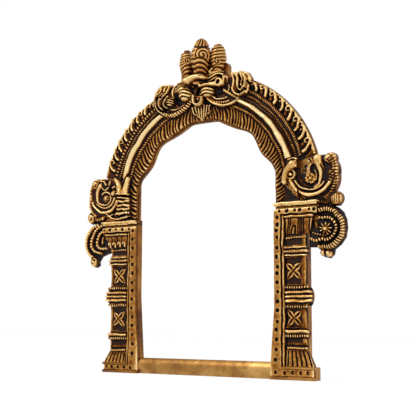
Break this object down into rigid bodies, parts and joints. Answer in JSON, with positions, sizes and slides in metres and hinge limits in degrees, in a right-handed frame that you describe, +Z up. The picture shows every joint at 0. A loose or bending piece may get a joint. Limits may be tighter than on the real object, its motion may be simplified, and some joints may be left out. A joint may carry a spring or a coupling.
{
  "type": "prabhavali arch",
  "caption": "Cast brass prabhavali: an arch with a lion-mask crest and curled sea-beasts on two panelled columns, joined by a rail.",
  "frame": {"origin": "on the surface it stands on, midway between the feet and at half their depth", "axes": "+X to the right seen from the front, -Y to the front, +Z up"},
  "size_m": [0.1648, 0.0136, 0.1794],
  "materials": {
    "antique_brass": "cast, dark in the recesses and rubbed bright on the relief",
    "plain_brass": "filed plain brass with a brown tone",
    "polished_brass": "rubbed bright and smooth"
  },
  "bodies": {
    "root": {"arch_plate": "plain_brass", "beard": "antique_brass", "bottom_rail": "plain_brass", "crest_back": "plain_brass", "crest_face": "antique_brass", "crown_centre": "antique_brass", "crown_left": "antique_brass", "crown_right": "antique_brass", "left_arch_rib": "polished_brass", "left_base_ring": "antique_brass", "left_bead_row": "antique_brass", "left_border": "antique_brass", "left_border_bead": "plain_brass", "left_capital": "antique_brass", "left_column": "antique_brass", "left_foot_bell": "antique_brass", "left_foot_block": "plain_brass", "left_fringe": "antique_brass", "left_impost": "plain_brass", "left_inner_cord": "antique_brass", "left_leaf_border": "antique_brass", "left_makara_head": "antique_brass", "left_makara_scroll": "antique_brass", "left_mane_scroll": "antique_brass", "left_middle_ring": "antique_brass", "left_post": "plain_brass", "left_rope_cord": "antique_brass", "left_tail_scroll": "antique_brass", "left_upper_ring": "antique_brass", "right_arch_rib": "polished_brass", "right_base_ring": "antique_brass", "right_bead_row": "antique_brass", "right_border": "antique_brass", "right_border_bead": "plain_brass", "right_capital": "antique_brass", "right_column": "antique_brass", "right_foot_bell": "antique_brass", "right_foot_block": "plain_brass", "right_fringe": "antique_brass", "right_impost": "plain_brass", "right_inner_cord": "antique_brass", "right_leaf_border": "antique_brass", "right_makara_head": "antique_brass", "right_makara_scroll": "antique_brass", "right_mane_scroll": "antique_brass", "right_middle_ring": "antique_brass", "right_post": "plain_brass", "right_rope_cord": "antique_brass", "right_tail_scroll": "antique_brass", "right_upper_ring": "antique_brass", "tongue": "antique_brass"}
  },
  "joints": []
}
